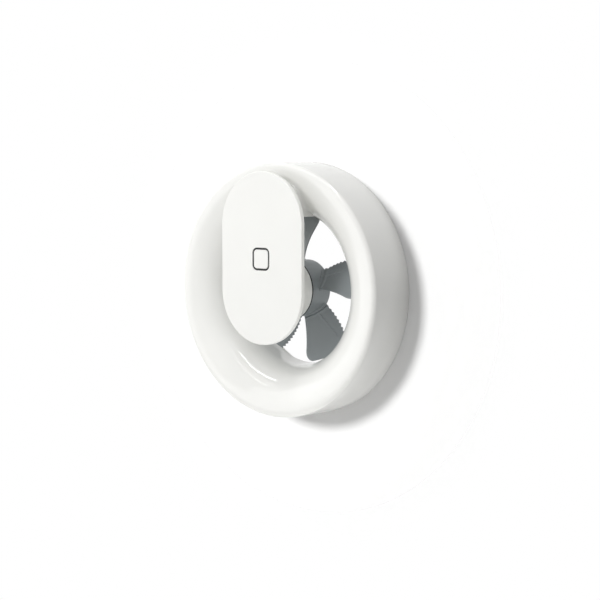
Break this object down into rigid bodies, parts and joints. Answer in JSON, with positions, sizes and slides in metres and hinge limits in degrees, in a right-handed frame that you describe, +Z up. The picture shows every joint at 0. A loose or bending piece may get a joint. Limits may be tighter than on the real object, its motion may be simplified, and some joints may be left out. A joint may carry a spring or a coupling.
{
  "type": "bathroom exhaust fan",
  "caption": "Round wall-mounted bathroom exhaust fan: drum ring with a bell-mouth inlet, an upright control plate with a push button on one arm, and an axial impeller.",
  "frame": {"origin": "centre of the circle of wall screws, on the fan's axis, in the wall plane", "axes": "+Y into the wall along the fan's axis, the front faces -Y, +Z up in use, +X to the right seen from the room"},
  "size_m": [0.1816, 0.0652, 0.1816],
  "materials": {
    "ring_white": "gloss moulded ABS",
    "plate_white": "satin moulded ABS",
    "base_white": "matt moulded ABS",
    "impeller_grey": "satin moulded polypropylene",
    "dark_plastic": "matt black",
    "foam_seal": "closed-cell foam",
    "grommet_rubber": "matt",
    "terminal_nylon": "natural nylon",
    "wire_jacket": "PVC insulation",
    "capacitor_can": "bare can",
    "board_laminate": "solder resist",
    "brass": "turned",
    "core_steel": "stacked laminations",
    "copper_wire": "enamelled winding",
    "magnet_ferrite": "sintered",
    "plated_steel": "zinc plated"
  },
  "bodies": {
    "housing": {"bearing_outer_rings": "plated_steel", "bearing_tube": "brass", "board_screws": "plated_steel", "button_frame": "dark_plastic", "cable_clamp": "base_white", "cable_grommet": "grommet_rubber", "clamp_screws": "plated_steel", "control_board": "board_laminate", "cover_plate": "plate_white", "duct_spigot": "base_white", "filter_capacitors": "capacitor_can", "front_ring": "ring_white", "humidity_sensor": "dark_plastic", "lock_screw": "plated_steel", "microcontroller": "dark_plastic", "motor_board": "board_laminate", "motor_housing": "plate_white", "motor_lead": "wire_jacket", "motor_screws": "plated_steel", "mounting_base": "base_white", "pod_housing": "plate_white", "pod_screws": "plated_steel", "power_module": "dark_plastic", "spigot_screws": "plated_steel", "stator_coils": "copper_wire", "stator_core": "core_steel", "stator_insulators": "terminal_nylon", "stator_pins": "brass", "supply_connector": "terminal_nylon", "supply_wires": "wire_jacket", "tact_switch": "dark_plastic", "terminal_block": "terminal_nylon", "terminal_screws": "plated_steel", "wall_seal": "foam_seal"},
    "rotor": {"impeller": "impeller_grey", "rotor_yoke": "plated_steel", "rotor_magnet": "magnet_ferrite", "motor_shaft": "plated_steel", "preload_washer": "plated_steel", "shaft_clip": "plated_steel", "bearing_inner_rings": "plated_steel"},
    "ball_set": {"bearing_balls": "plated_steel"},
    "button": {"push_button": "plate_white", "switch_plunger": "dark_plastic"}
  },
  "joints": [
    {"name": "impeller_spin", "type": "hinge", "parent": "housing", "child": "rotor", "pos_m": [0, 0, 0], "axis": [0, 1, 0], "continuous": true},
    {"name": "ball_orbit", "type": "hinge", "parent": "housing", "child": "ball_set", "pos_m": [0, 0, 0], "axis": [0, 1, 0], "continuous": true},
    {"name": "button_press", "type": "slide", "parent": "housing", "child": "button", "axis": [0, 1, 0], "range_m": [0, 0.0008], "stiffness_N_per_m": 1500}
  ],
  "couplings": [
    {"joint": "ball_orbit", "follows": "impeller_spin", "ratio": 0.3818}
  ]
}
